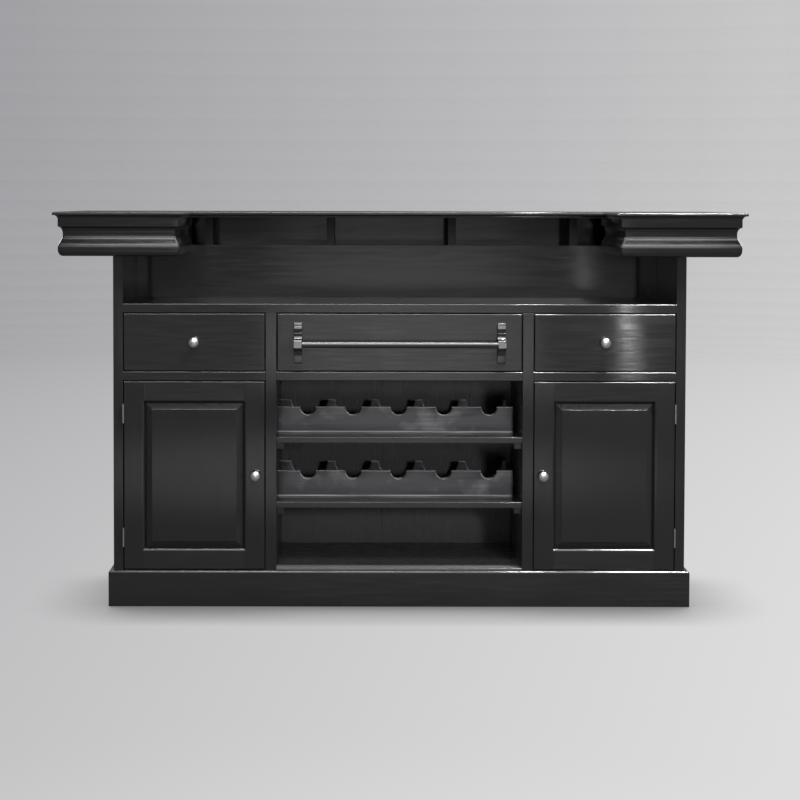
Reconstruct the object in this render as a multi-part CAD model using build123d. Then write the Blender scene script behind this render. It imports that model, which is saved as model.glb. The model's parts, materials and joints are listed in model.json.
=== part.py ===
from build123d import *
import os
from math import atan2, degrees, sqrt

# A bar counter seen from the bartender's side: the face frame looks along -Y, the customer side is +Y.
# All sizes are in millimetres, and the origin is on the floor at the middle of the overall box.

# Bays across the face
stile_width = 26
mullion_width = 30
outer_bay = 390
centre_bay = 674

# Heights up the face
plinth_height = 98
floor_rise = 6
door_opening = 521
mid_rail_height = 25
drawer_opening = 161
top_rail_height = 25
work_space_height = 130

# Depths
interior_depth = 380
lining_thickness = 8
customer_frame_thickness = 20
customer_overhang = 150

# Board thicknesses
side_thickness = 20
partition_thickness = 20
front_board = 20
bottom_thickness = 18
work_shelf_thickness = 20
drawer_shelf_thickness = 18
arris = 1.2
front_arris = 2.5

# Plinth round the foot
plinth_thickness = 13
plinth_round = 6

# Bar top
end_overhang = 160
wing_width = 356
centre_top_depth = 312
slab_nose = 8.4
slab_cove = 8.6
edge_setback = 13
slab_arris = 4

# Cornice under the bar top
cornice_thickness = 26
cornice_fascia = 23
cornice_cove = 19
cornice_flat = 10
cornice_ogee = 26
cornice_belly = 7
cornice_round = 18
cornice_relief = 12
soffit_thickness = 21
rib_thickness = 23
rib_spacing = 356
rib_offset = -16
rib_count = 4

# Doors, and the customer panels that match them
reveal_gap = 2
panel_member = 57
sticking = 7
groove_setback = 11
groove_depth = 8
groove_room = 1
tongue_thickness = 6
bevel_width = 20
field_setback = 1
field_shoulder = 1.5
customer_panel_count = 3

# Butt hinges
hinge_length = 52
hinge_inset = 88
leaf_thickness = 0.9
leaf_clearance = 0.2
leaf_depth = 18
pin_radius = 1.5
pin_clearance = 0.05
knuckle_wall = 1.45
knuckle_relief = 0.5
knuckle_room = 0.3
hinge_screw_radius = 1.5
hinge_screw_head_radius = 2.4
hinge_screw_length = 14
hinge_screw_spacing = 34

# Catches on the doors
catch_length = 40
catch_depth = 20
catch_height = 26
catch_inset = 40
catch_clearance = 0.3
strike_thickness = 1.7

# Drawers
running_clearance = 0.5
drawer_side_gap = 8
drawer_side_thickness = 12
drawer_top_room = 41
drawer_back_room = 30
drawer_bottom_thickness = 6
drawer_bottom_rise = 10
drawer_groove = 5
guide_height = 30
kicker_width = 25
stop_length = 40

# Knobs
knob_radius = 14.5
knob_length = 28
door_knob_inset = 25
knob_head = 17
knob_neck_radius = 4.8
knob_base_radius = 7.5
knob_base_height = 3
knob_rim = 7
knob_edge = 5
knob_screw_radius = 2
knob_screw_grip = 10
screw_head_radius = 4
screw_head_height = 2.4

# Rail handle of the centre drawer
handle_inset = 57
handle_drop = 3.5
handle_radius = 9
handle_standoff = 36
handle_socket = 8
bracket_width = 23
bracket_boss = 12
bracket_nose = 13
bracket_nose_round = 10
bracket_tier_round = 5
bracket_toe_round = 4
bracket_back = 10
bracket_cap = 17
bracket_cap_step = 6
bracket_tier = 9
bracket_rise = 58
bracket_tail = 54
bracket_bead = 2.5
bracket_screw_offset = 32

# Wine rack
bottle_count = 5
bottom_space = 165
rack_space = 163
rack_shelf_thickness = 16
rack_shelf_setback = 4
rack_board_height = 72
rack_board_thickness = 18
rack_end_gap = 17
rack_margin = 84
neck_setback = 105
body_setback = 295
neck_notch_radius = 22
body_notch_radius = 53
body_notch_depth = 49
cleat_width = 20
cleat_height = 18
cleat_setback = 22

# Plank lining behind the wine rack
plank_width = 400
plank_seam_x = -41
plank_chamfer = 0.8

# Half widths
bay_x = centre_bay / 2
mullion_x = bay_x + mullion_width
stile_x = mullion_x + outer_bay
body_x = stile_x + stile_width
side_x = body_x - side_thickness
partition_x = bay_x + partition_thickness
slab_x = body_x + end_overhang
wing_x = slab_x - wing_width
cornice_x = slab_x - edge_setback
return_x = wing_x + edge_setback

# Levels
floor_z = plinth_height + floor_rise
bottom_z = floor_z - bottom_thickness
mid_rail_z = plinth_height + door_opening
drawer_z = mid_rail_z + mid_rail_height
top_rail_z = drawer_z + drawer_opening
shelf_z = top_rail_z + top_rail_height
shelf_under_z = shelf_z - work_shelf_thickness
drawer_shelf_under_z = drawer_z - drawer_shelf_thickness
cornice_z = shelf_z + work_space_height
cornice_lower = cornice_ogee + cornice_belly + cornice_round
cornice_height = cornice_fascia + cornice_cove + cornice_flat + cornice_lower
slab_z = cornice_z + cornice_height
slab_thickness = slab_nose + slab_cove
soffit_z = cornice_z + soffit_thickness

# Depth planes, from the bartender's side to the customer's
handle_reach = handle_standoff + bracket_nose
wing_reach = cornice_thickness + edge_setback
rear_reach = max(handle_reach, wing_reach)
front_reach = interior_depth + lining_thickness + customer_frame_thickness + customer_overhang
face_y = (rear_reach - front_reach) / 2
face_thickness = front_board + strike_thickness + catch_clearance
carcase_y = face_y + face_thickness
lining_y = face_y + interior_depth
customer_y = lining_y + lining_thickness
customer_face_y = customer_y + customer_frame_thickness
slab_front_y = customer_face_y + customer_overhang
slab_rear_y = face_y - wing_reach
notch_y = slab_front_y - centre_top_depth
cornice_rear_y = face_y - cornice_thickness
cornice_front_y = slab_front_y - edge_setback

# Hinge line of the doors
hinge_gap = 2 * leaf_thickness + leaf_clearance
knuckle_radius = pin_radius + pin_clearance + knuckle_wall
hinge_x = stile_x - hinge_gap / 2
hinge_y = face_y - knuckle_radius - knuckle_relief
door_edge_x = stile_x - hinge_gap
door_free_x = mullion_x + reveal_gap
door_z = plinth_height + reveal_gap
door_height = mid_rail_z - reveal_gap - door_z
door_width = door_edge_x - door_free_x
board_back_y = face_y + front_board

# Drawers in their openings
drawer_box_length = interior_depth - front_board - drawer_back_room
drawer_side_height = drawer_opening - drawer_top_room
drawer_box_z = drawer_z + running_clearance
outer_drawer_x = (mullion_x + stile_x) / 2
handle_x = bay_x - reveal_gap - handle_inset
handle_y = face_y - handle_standoff
handle_z = drawer_z + drawer_opening / 2 - handle_drop

# Wine rack tiers
lower_shelf_z = floor_z + bottom_space
upper_shelf_z = lower_shelf_z + rack_shelf_thickness + rack_space
rack_floors = [lower_shelf_z + rack_shelf_thickness, upper_shelf_z + rack_shelf_thickness]
notch_pitch = (centre_bay - 2 * rack_margin) / (bottle_count - 1)

vertical = Vector(0, 0, 1)


# Helpers
def board(x, y, z):
    """A plain board between two corners, each axis given as (low, high)."""
    centre = Pos((x[0] + x[1]) / 2, (y[0] + y[1]) / 2, (z[0] + z[1]) / 2)
    return centre * Box(x[1] - x[0], y[1] - y[0], z[1] - z[0])


def eased(piece, axis, radius=arris):
    """The same board with the edges of its rear face that run along one axis rounded off."""
    edges = piece.faces().sort_by(Axis.Y)[0].edges().filter_by(axis)
    return fillet(edges, radius)


def quarter(start, corner, end):
    """About a quarter circle: an arc that takes the place of the square corner between two points."""
    pull = 1 - sqrt(0.5)
    middle = tuple(at + (one - at + other - at) * pull for one, at, other in zip(start, corner, end))
    return ThreePointArc(start, middle, end)


def pair(piece):
    """A piece on the right and its mirror image on the left."""
    return [piece, mirror(piece, about=Plane.YZ)]


def moulded(profile, plan, outward, base):
    """A moulding cut to its mitred plan. The profile is drawn outward from the back face and up from base."""
    centre = sum((Vector(*point) for point in plan), Vector()) / len(plan)
    section = Plane(origin=centre + base, x_dir=outward, z_dir=outward.cross(vertical))
    reach = 2 * slab_x
    run = extrude(section * profile, amount=reach, both=True)
    blank = extrude(make_face(Polyline(*plan, close=True)), amount=2 * slab_z)
    return run & blank


def save(name, pieces):
    """Write the separate solids of one node."""
    solids = [solid for piece in pieces for solid in piece.solids()]
    export_step(Compound(solids), os.path.join("parts", name + ".step"))


# Carcase
def side_panel():
    return board((side_x, body_x), (carcase_y, customer_y), (0, slab_z))


def partition():
    return board((bay_x, partition_x), (carcase_y, lining_y), (floor_z, shelf_under_z))


def bottom_board():
    panel = board((-side_x, side_x), (carcase_y, lining_y), (bottom_z, floor_z))
    sill = board((-bay_x, bay_x), (face_y, carcase_y), (bottom_z, floor_z))
    return panel + eased(sill, Axis.X)


def work_shelf():
    return board((-side_x, side_x), (carcase_y, lining_y), (shelf_under_z, shelf_z))


def drawer_shelves():
    depth = (carcase_y, lining_y)
    height = (drawer_shelf_under_z, drawer_z)
    return pair(board((partition_x, side_x), depth, height)) + [board((-bay_x, bay_x), depth, height)]


def work_space_back():
    return board((-side_x, side_x), (lining_y, customer_y), (shelf_under_z, soffit_z))


def lining_planks():
    """Upright planks with chamfered meeting edges, counted both ways from one seam."""
    first = int((plank_seam_x + side_x) // plank_width)
    last = int((side_x - plank_seam_x) // plank_width)
    inner = [plank_seam_x + plank_width * step for step in range(-first, last + 1)]
    seams = [-side_x] + inner + [side_x]
    planks = []
    for left, right in zip(seams[:-1], seams[1:]):
        plank = board((left, right), (lining_y, customer_y), (bottom_z, shelf_under_z))
        edges = plank.faces().sort_by(Axis.Y)[0].edges().filter_by(Axis.Z)
        planks.append(chamfer(edges, plank_chamfer))
    return planks


# Face frame
def frame_stile(screws):
    post = eased(board((stile_x, body_x), (face_y, carcase_y), (0, slab_z)), Axis.Z)
    return post - screws


def frame_mullion():
    return eased(board((bay_x, mullion_x), (face_y, carcase_y), (0, top_rail_z)), Axis.Z)


def frame_rail(x, z):
    return eased(board(x, (face_y, carcase_y), z), Axis.X, front_arris)


def frame_top_rail():
    return frame_rail((-stile_x, stile_x), (top_rail_z, shelf_z))


def frame_mid_rails():
    height = (mid_rail_z, drawer_z)
    return pair(frame_rail((mullion_x, stile_x), height)) + [frame_rail((-bay_x, bay_x), height)]


def frame_bottom_rails():
    outer = board((mullion_x, stile_x), (face_y, carcase_y), (0, plinth_height))
    centre = board((-bay_x, bay_x), (face_y, carcase_y), (0, bottom_z))
    return pair(outer) + [centre]


# Plinth
def plinth_profile():
    """A skirting board with a quarter-round top edge."""
    start = (plinth_thickness, plinth_height - plinth_round)
    end = (plinth_thickness - plinth_round, plinth_height)
    return make_face([
        Line((0, 0), (plinth_thickness, 0)),
        Line((plinth_thickness, 0), start),
        quarter(start, (plinth_thickness, plinth_height), end),
        Line(end, (0, plinth_height)),
        Line((0, plinth_height), (0, 0)),
    ])


def plinth_boards():
    profile = plinth_profile()
    x = (body_x, body_x + plinth_thickness)
    rear = (face_y, face_y - plinth_thickness)
    front = (customer_face_y, customer_face_y + plinth_thickness)
    end_plan = [(x[0], rear[0]), (x[1], rear[1]), (x[1], front[1]), (x[0], front[0])]
    boards = []
    for y, outward in ((rear, Vector(0, -1, 0)), (front, Vector(0, 1, 0))):
        plan = [(-x[0], y[0]), (-x[1], y[1]), (x[1], y[1]), (x[0], y[0])]
        back_face = Vector(0, y[0] - (y[0] + y[1]) / 2, 0)
        boards.append(moulded(profile, plan, outward, back_face))
    back_face = Vector(-plinth_thickness / 2, 0, 0)
    return boards + pair(moulded(profile, end_plan, Vector(1, 0, 0), back_face))


# Bar top
def slab_outline():
    """The outline of the top: a strip along the customer side with a wing at each end."""
    return [
        (0, slab_front_y),
        (-slab_x, slab_front_y),
        (-slab_x, slab_rear_y),
        (-wing_x, slab_rear_y),
        (-wing_x, notch_y),
        (wing_x, notch_y),
        (wing_x, slab_rear_y),
        (slab_x, slab_rear_y),
        (slab_x, slab_front_y),
    ]


def slab_edge_cut():
    """What the moulded edge takes away: a cove under a square nose, carried round the outline."""
    profile = make_face([
        quarter((0, slab_cove), (edge_setback, slab_cove), (edge_setback, 0)),
        Line((edge_setback, 0), (0, 0)),
        Line((0, 0), (0, slab_cove)),
    ])
    path = Pos(0, 0, slab_z) * Polyline(*slab_outline(), close=True)
    section = Plane(origin=(0, slab_front_y, slab_z), x_dir=(0, -1, 0), z_dir=(-1, 0, 0))
    return sweep(section * profile, path=path, transition=Transition.RIGHT)


def bar_top():
    """The centre board and the two wing boards, cut from one moulded outline."""
    outline = Pos(0, 0, slab_z) * make_face(Polyline(*slab_outline(), close=True))
    slab = extrude(outline, amount=slab_thickness) - slab_edge_cut()
    slab = fillet(slab.faces().sort_by(Axis.Z)[-1].edges(), slab_arris)
    depth = (slab_rear_y, slab_front_y)
    height = (slab_z, slab_z + slab_thickness)
    centre = slab & board((-wing_x, wing_x), depth, height)
    wing = slab & board((wing_x, slab_x), depth, height)
    return centre, pair(wing)


def top_ribs():
    first = rib_offset - rib_spacing * (rib_count - 1) / 2
    ribs = []
    for step in range(rib_count):
        x = first + step * rib_spacing
        width = (x - rib_thickness / 2, x + rib_thickness / 2)
        ribs.append(board(width, (lining_y, cornice_front_y - cornice_thickness), (soffit_z, slab_z)))
    return ribs


# Cornice
def cornice_profile():
    """From the top down: a fascia, a cove, a flat, an ogee out to a belly, and a round under it.

    The ogee is two equal arcs that meet halfway and leave the flat and the belly upright.
    """
    face = cornice_thickness
    recess = cornice_thickness - cornice_relief
    top = cornice_height
    cove_top = top - cornice_fascia
    cove_low = cove_top - cornice_cove
    ogee_top = cornice_lower
    ogee_low = ogee_top - cornice_ogee
    ogee_mid = ((recess + face) / 2, (ogee_top + ogee_low) / 2)
    slant = sqrt(cornice_relief**2 + cornice_ogee**2)
    drop = slant / 4
    reach = slant * (slant - cornice_ogee) / (4 * cornice_relief)
    return make_face([
        Line((0, 0), (0, top)),
        Line((0, top), (face, top)),
        Line((face, top), (face, cove_top)),
        quarter((face, cove_top), (recess, cove_top), (recess, cove_low)),
        Line((recess, cove_low), (recess, ogee_top)),
        ThreePointArc((recess, ogee_top), (recess + reach, ogee_top - drop), ogee_mid),
        ThreePointArc(ogee_mid, (face - reach, ogee_low + drop), (face, ogee_low)),
        Line((face, ogee_low), (face, cornice_round)),
        quarter((face, cornice_round), (face, 0), (recess, 0)),
        Line((recess, 0), (0, 0)),
    ])


def cornice_run(plan, outward):
    """One cornice board, whose plan starts with the two ends of its back face."""
    centre = sum((Vector(*point) for point in plan), Vector()) / len(plan)
    inward = (Vector(*plan[0]) - centre).dot(outward)
    return moulded(cornice_profile(), plan, outward, outward * inward + vertical * cornice_z)


def front_cornice():
    outer_y = cornice_front_y
    inner_y = outer_y - cornice_thickness
    inner_x = cornice_x - cornice_thickness
    plan = [(-inner_x, inner_y), (inner_x, inner_y), (cornice_x, outer_y), (-cornice_x, outer_y)]
    return cornice_run(plan, Vector(0, 1, 0))


def end_cornice():
    inner_x = cornice_x - cornice_thickness
    inner_y = cornice_front_y - cornice_thickness
    plan = [(inner_x, face_y), (inner_x, inner_y), (cornice_x, cornice_front_y), (cornice_x, cornice_rear_y)]
    return cornice_run(plan, Vector(1, 0, 0))


def wing_rear_cornice():
    inner = (return_x + cornice_thickness, cornice_x - cornice_thickness)
    plan = [(inner[0], face_y), (inner[1], face_y), (cornice_x, cornice_rear_y), (return_x, cornice_rear_y)]
    return cornice_run(plan, Vector(0, -1, 0))


def wing_inner_cornice():
    inner_x = return_x + cornice_thickness
    plan = [(inner_x, face_y), (inner_x, lining_y), (return_x, lining_y), (return_x, cornice_rear_y)]
    return cornice_run(plan, Vector(-1, 0, 0))


def soffit_boards():
    height = (cornice_z, soffit_z)
    inner_x = cornice_x - cornice_thickness
    front_depth = (customer_face_y, cornice_front_y - cornice_thickness)
    front = board((-inner_x, inner_x), front_depth, height)
    end = board((body_x, inner_x), (face_y, customer_face_y), height)
    inner = board((return_x + cornice_thickness, side_x), (face_y, lining_y), height)
    inner -= board((stile_x, body_x), (face_y, carcase_y), height)
    return [front] + pair(end) + pair(inner)


# Framed panels, used for the doors and the customer side
def panel_openings(width, height, count, low_member):
    """The (x, z) ranges of the panel openings in a frame that stands on z 0, centred on x 0."""
    clear = (width - (count + 1) * panel_member) / count
    starts = [-width / 2 + panel_member + step * (clear + panel_member) for step in range(count)]
    return [((start, start + clear), (low_member, height - panel_member)) for start in starts]


def grown(span, amount):
    return (span[0] - amount, span[1] + amount)


def panel_frame(width, height, thickness, openings):
    """Stiles and rails of one frame, front face on y 0: moulded and grooved, then parted at the joints."""
    frame = board((-width / 2, width / 2), (0, thickness), (0, height))
    for x, z in openings:
        frame -= board(x, (0, thickness), z)
    face = frame.faces().sort_by(Axis.Y)[0]
    frame = fillet([edge for wire in face.inner_wires() for edge in wire.edges()], sticking)
    face = frame.faces().sort_by(Axis.Y)[0]
    frame = fillet(face.outer_wire().edges(), front_arris)
    groove = (groove_setback, groove_setback + tongue_thickness)
    reach = groove_depth + groove_room
    for x, z in openings:
        frame -= board(grown(x, reach), groove, grown(z, reach))
    edges = [-width / 2] + [end for x, z in openings for end in x] + [width / 2]
    depth = (0, thickness)
    stiles = [frame & board(span, depth, (0, height)) for span in zip(edges[0::2], edges[1::2])]
    rails = []
    for x, z in openings:
        rails.append(frame & board(x, depth, (0, z[0])))
        rails.append(frame & board(x, depth, (z[1], height)))
    return stiles + rails


def raised_panel(x, z):
    """A panel whose tongue sits in the frame's groove and whose bevel rises to a flat field."""
    tongue_y = (groove_setback, groove_setback + tongue_thickness)
    tongue = board(grown(x, groove_depth), tongue_y, grown(z, groove_depth))
    centre = Vector((x[0] + x[1]) / 2, 0, (z[0] + z[1]) / 2)
    width = x[1] - x[0]
    height = z[1] - z[0]
    shoulder_y = field_setback + field_shoulder
    base = Plane(origin=centre + Vector(0, groove_setback, 0), x_dir=(1, 0, 0), z_dir=(0, -1, 0))
    crest = Plane(origin=centre + Vector(0, shoulder_y, 0), x_dir=(1, 0, 0), z_dir=(0, -1, 0))
    field = Rectangle(width - 2 * bevel_width, height - 2 * bevel_width)
    bevel = loft([base * Rectangle(width, height), crest * field], ruled=True)
    return tongue + bevel + extrude(crest * field, amount=field_shoulder)


def customer_front():
    """The frame and raised panels that face the customer."""
    width = 2 * body_x
    openings = panel_openings(width, soffit_z, customer_panel_count, plinth_height + panel_member)
    turned = Pos(0, customer_face_y, 0) * Rot(0, 0, 180)
    frame = [turned * piece for piece in panel_frame(width, soffit_z, customer_frame_thickness, openings)]
    panels = [turned * raised_panel(x, z) for x, z in openings]
    return frame, panels


# Screws
def pan_screw(length):
    """A screw with a pan head: the head is above z 0 and the shank below."""
    shank = Pos(0, 0, -length / 2) * Cylinder(knob_screw_radius, length)
    head = Pos(0, 0, screw_head_height / 2) * Cylinder(screw_head_radius, screw_head_height)
    return shank + fillet(head.edges().sort_by(Axis.Z)[-1], screw_head_height / 2)


def hinge_screw():
    """A countersunk screw whose head lies flush in a leaf that reaches down to z 0."""
    shank = Pos(0, 0, -hinge_screw_length / 2) * Cylinder(hinge_screw_radius, hinge_screw_length)
    head = Pos(0, 0, leaf_thickness / 2) * Cone(hinge_screw_radius, hinge_screw_head_radius, leaf_thickness)
    return shank + head


# Knobs
def knob_profile():
    """Half section of a round knob on a stem, with its screw hole: r outward, z away from the front.

    The rim is a small round that runs smoothly into a crown centred on the axis.
    """
    neck_z = knob_length - knob_head
    rim_z = neck_z + knob_rim
    base_fall = knob_base_radius - knob_neck_radius
    inner = knob_radius - knob_edge
    rise = knob_length - rim_z
    crown = (inner**2 + rise**2 - knob_edge**2) / (2 * (rise - knob_edge))
    turn = degrees(atan2(crown - rise, inner))
    return make_face([
        Line((knob_screw_radius, 0), (knob_base_radius, 0)),
        EllipticalCenterArc((knob_neck_radius, 0), base_fall, knob_base_height),
        Line((knob_neck_radius, knob_base_height), (knob_neck_radius, neck_z)),
        EllipticalCenterArc((knob_neck_radius, rim_z), knob_radius - knob_neck_radius, knob_rim, 270),
        CenterArc((inner, rim_z), knob_edge, 0, turn),
        CenterArc((0, knob_length - crown), crown, turn, 90 - turn),
        Line((0, knob_length), (0, knob_screw_grip)),
        Line((0, knob_screw_grip), (knob_screw_radius, knob_screw_grip)),
        Line((knob_screw_radius, knob_screw_grip), (knob_screw_radius, 0)),
    ])


def knob(x, z):
    """A knob on the face at one place, and the screw that holds it from behind the front board."""
    turned = revolve(Plane.XZ * knob_profile(), axis=Axis.Z)
    screw = Pos(x, board_back_y, z) * Rot(-90, 0, 0) * pan_screw(front_board + knob_screw_grip)
    return Pos(x, face_y, z) * Rot(90, 0, 0) * turned, screw


# Drawers
def drawer_box(low_x, high_x):
    """The sides, back and bottom of a drawer between the two edges of its opening."""
    x = (low_x + drawer_side_gap, high_x - drawer_side_gap)
    inner = (x[0] + drawer_side_thickness, x[1] - drawer_side_thickness)
    y = (board_back_y, board_back_y + drawer_box_length)
    z = (drawer_box_z, drawer_box_z + drawer_side_height)
    floor = (drawer_box_z + drawer_bottom_rise, drawer_box_z + drawer_bottom_rise + drawer_bottom_thickness)
    panel = board(grown(inner, drawer_groove), (y[0] - drawer_groove, y[1]), floor)
    sides = [board((x[0], inner[0]), y, z) - panel, board((inner[1], x[1]), y, z) - panel]
    back = board(inner, (y[1] - drawer_side_thickness, y[1]), (floor[1], z[1]))
    return sides + [back], panel


def drawer_front(low_x, high_x):
    height = (drawer_z + reveal_gap, top_rail_z - reveal_gap)
    front = board((low_x + reveal_gap, high_x - reveal_gap), (face_y, board_back_y), height)
    return fillet(front.faces().sort_by(Axis.Y)[0].edges(), front_arris)


def outer_drawer(low_x, high_x):
    """Front, box, bottom, knob and knob screw of one outer drawer."""
    box, bottom = drawer_box(low_x, high_x)
    handle, screw = knob((low_x + high_x) / 2, drawer_z + drawer_opening / 2)
    return drawer_front(low_x, high_x) - bottom - screw, box, bottom, handle, screw


def bracket_profile():
    """Side view of a scrolled bracket: x out from the drawer front, y up from the axis of the rail.

    Under a cap of two rounded tiers come a bead, a cove, a boss with a round nose, a scoop and a toe.
    """
    boss = bracket_boss
    back = bracket_back
    cap = bracket_cap
    step = cap - bracket_cap_step
    nose = handle_standoff + bracket_nose
    ease = bracket_tier_round
    round_nose = bracket_nose_round
    tier_top = bracket_rise - bracket_tier
    cap_low = tier_top - bracket_tier
    bead_top = cap_low - bracket_tier
    bead_low = bead_top - 2 * bracket_bead
    cove_top = boss + back
    scoop = 2 * boss
    scoop_low = -boss - scoop
    toe = back - bracket_toe_round / 2
    toe_top = bracket_toe_round - bracket_tail
    return make_face([
        Line((0, bracket_rise), (step - ease, bracket_rise)),
        quarter((step - ease, bracket_rise), (step, bracket_rise), (step, bracket_rise - ease)),
        Line((step, bracket_rise - ease), (step, tier_top)),
        Line((step, tier_top), (cap - ease, tier_top)),
        quarter((cap - ease, tier_top), (cap, tier_top), (cap, tier_top - ease)),
        Line((cap, tier_top - ease), (cap, cap_low)),
        Line((cap, cap_low), (back, cap_low)),
        Line((back, cap_low), (back, bead_top)),
        ThreePointArc((back, bead_top), (back + bracket_bead, bead_top - bracket_bead), (back, bead_low)),
        Line((back, bead_low), (back, cove_top)),
        quarter((back, cove_top), (back, boss), (2 * back, boss)),
        Line((2 * back, boss), (nose - round_nose, boss)),
        quarter((nose - round_nose, boss), (nose, boss), (nose, boss - round_nose)),
        Line((nose, boss - round_nose), (nose, round_nose - boss)),
        quarter((nose, round_nose - boss), (nose, -boss), (nose - round_nose, -boss)),
        Line((nose - round_nose, -boss), (back + scoop, -boss)),
        quarter((back + scoop, -boss), (back, -boss), (back, scoop_low)),
        Line((back, scoop_low), (toe, toe_top)),
        quarter((toe, toe_top), (toe, -bracket_tail), (toe - bracket_toe_round, -bracket_tail)),
        Line((toe - bracket_toe_round, -bracket_tail), (0, -bracket_tail)),
        Line((0, -bracket_tail), (0, bracket_rise)),
    ])


def rail_handle():
    """The round rail, the two brackets that hold its ends, and the screws behind them."""
    half = handle_x - bracket_width / 2 + handle_socket
    rail = Pos(0, handle_y, handle_z) * Rot(0, 90, 0) * Cylinder(handle_radius, 2 * half)
    side_view = Plane(origin=(handle_x, face_y, handle_z), x_dir=(0, -1, 0), z_dir=(-1, 0, 0))
    bracket = extrude(side_view * bracket_profile(), amount=bracket_width / 2, both=True)
    place = Pos(handle_x, board_back_y, handle_z) * Rot(-90, 0, 0)
    length = front_board + bracket_back - bracket_bead
    screws = []
    for rise in (-bracket_screw_offset, bracket_screw_offset):
        screws += pair(Pos(0, 0, rise) * place * pan_screw(length))
    brackets = pair(bracket - rail)
    return rail, [bracket - screws for bracket in brackets], screws


def drawer_guides():
    """Strips beside each drawer, kickers over its sides and a stop behind it, in that order."""
    y = (carcase_y, lining_y)
    low = (drawer_z, drawer_z + guide_height)
    high = (drawer_box_z + drawer_side_height + running_clearance, shelf_under_z)
    gap = drawer_side_gap - running_clearance
    walls = ((bay_x, bay_x - gap), (partition_x, mullion_x + gap), (side_x, stile_x - gap))
    guides = []
    kickers = []
    for wall, face in walls:
        reach = kicker_width if face > wall else -kicker_width
        guides += pair(board((min(wall, face), max(wall, face)), y, low))
        kickers += pair(board((min(wall, face + reach), max(wall, face + reach)), y, high))
    stop_y = (board_back_y + drawer_box_length + running_clearance, lining_y)
    stop = board((-stop_length / 2, stop_length / 2), stop_y, low)
    stops = [stop] + pair(Pos(outer_drawer_x, 0, 0) * stop)
    return guides + stops, kickers


# Doors
def knuckle(low, high, radius):
    """A round length on the hinge line of the right door."""
    return Pos(hinge_x, hinge_y, (low + high) / 2) * Cylinder(radius, high - low)


def butt_hinge(middle):
    """One hinge of the right door: frame leaf, door leaf, pin, and the screws of each leaf."""
    low = middle - hinge_length / 2
    high = middle + hinge_length / 2
    third = hinge_length / 3
    y = (hinge_y, face_y + leaf_depth)
    bore = knuckle(low, high, pin_radius + pin_clearance)
    pin = knuckle(low, high, pin_radius)
    door_span = (low + third + knuckle_room / 2, high - third - knuckle_room / 2)
    frame_spans = ((low, low + third - knuckle_room / 2), (high - third + knuckle_room / 2, high))
    room = knuckle_radius + knuckle_room
    frame_leaf = board((stile_x - leaf_thickness, stile_x), y, (low, high))
    frame_leaf -= knuckle(low + third - knuckle_room / 2, high - third + knuckle_room / 2, room)
    frame_leaf += [knuckle(start, end, knuckle_radius) for start, end in frame_spans]
    door_leaf = board((door_edge_x, door_edge_x + leaf_thickness), y, (low, high))
    door_leaf -= [knuckle(low, door_span[0], room), knuckle(door_span[1], high, room)]
    door_leaf += knuckle(door_span[0], door_span[1], knuckle_radius)
    screw_y = (face_y + leaf_depth + hinge_y + knuckle_radius) / 2
    frame_screws = []
    door_screws = []
    for offset in (-hinge_screw_spacing / 2, hinge_screw_spacing / 2):
        frame_screws.append(Pos(stile_x, screw_y, middle + offset) * Rot(0, -90, 0) * hinge_screw())
        door_screws.append(Pos(door_edge_x, screw_y, middle + offset) * Rot(0, 90, 0) * hinge_screw())
    return frame_leaf - bore - frame_screws, door_leaf - bore - door_screws, pin, frame_screws, door_screws


def right_door(hinges):
    """Frame, panel, knob, hinge leaves, screws and strike plate of the right door."""
    openings = panel_openings(door_width, door_height, 1, panel_member)
    place = Pos((door_free_x + door_edge_x) / 2, face_y, door_z)
    hinge_screws = [screw for hinge in hinges for screw in hinge[4]]
    handle, knob_screw = knob(door_free_x + door_knob_inset, door_z + door_height / 2)
    screws = hinge_screws + [knob_screw]
    frame = [place * piece - screws for piece in panel_frame(door_width, door_height, front_board, openings)]
    panel = place * raised_panel(*openings[0])
    return frame, panel, handle, [hinge[1] for hinge in hinges], screws


def catch_span():
    return (door_free_x + catch_inset, door_free_x + catch_inset + catch_length)


def strike_plate():
    height = (drawer_shelf_under_z - catch_height, door_z + door_height - front_arris)
    return board(catch_span(), (board_back_y, board_back_y + strike_thickness), height)


def door_catch():
    front = board_back_y + strike_thickness + catch_clearance
    height = (drawer_shelf_under_z - catch_height, drawer_shelf_under_z)
    return board(catch_span(), (front, front + catch_depth), height)


# Wine rack
def rack_shelf(z):
    shelf = board((-bay_x, bay_x), (face_y + rack_shelf_setback, lining_y), (z, z + rack_shelf_thickness))
    return eased(shelf, Axis.X)


def rack_cleats(z):
    depth = (face_y + cleat_setback, lining_y)
    return pair(board((bay_x - cleat_width, bay_x), depth, (z - cleat_height, z)))


def rack_board(z, setback, radius, drop):
    """An upright board set against the left side, with a round notch for each bottle, drop deep."""
    top = z + rack_board_height
    depth = (face_y + setback, face_y + setback + rack_board_thickness)
    upright = board((-bay_x, bay_x - rack_end_gap), depth, (z, top))
    for step in range(bottle_count):
        x = (step - (bottle_count - 1) / 2) * notch_pitch
        centre = Pos(x, (depth[0] + depth[1]) / 2, top + radius - drop)
        upright -= centre * Rot(90, 0, 0) * Cylinder(radius, 2 * rack_board_thickness)
    return upright


# Make every piece and write its node
os.makedirs("parts", exist_ok=True)

hinges = [butt_hinge(door_z + hinge_inset), butt_hinge(door_z + door_height - hinge_inset)]
frame_screws = [screw for hinge in hinges for screw in hinge[3]]
top_centre, top_wings = bar_top()
customer_frame, customer_panels = customer_front()
guides, kickers = drawer_guides()

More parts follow.
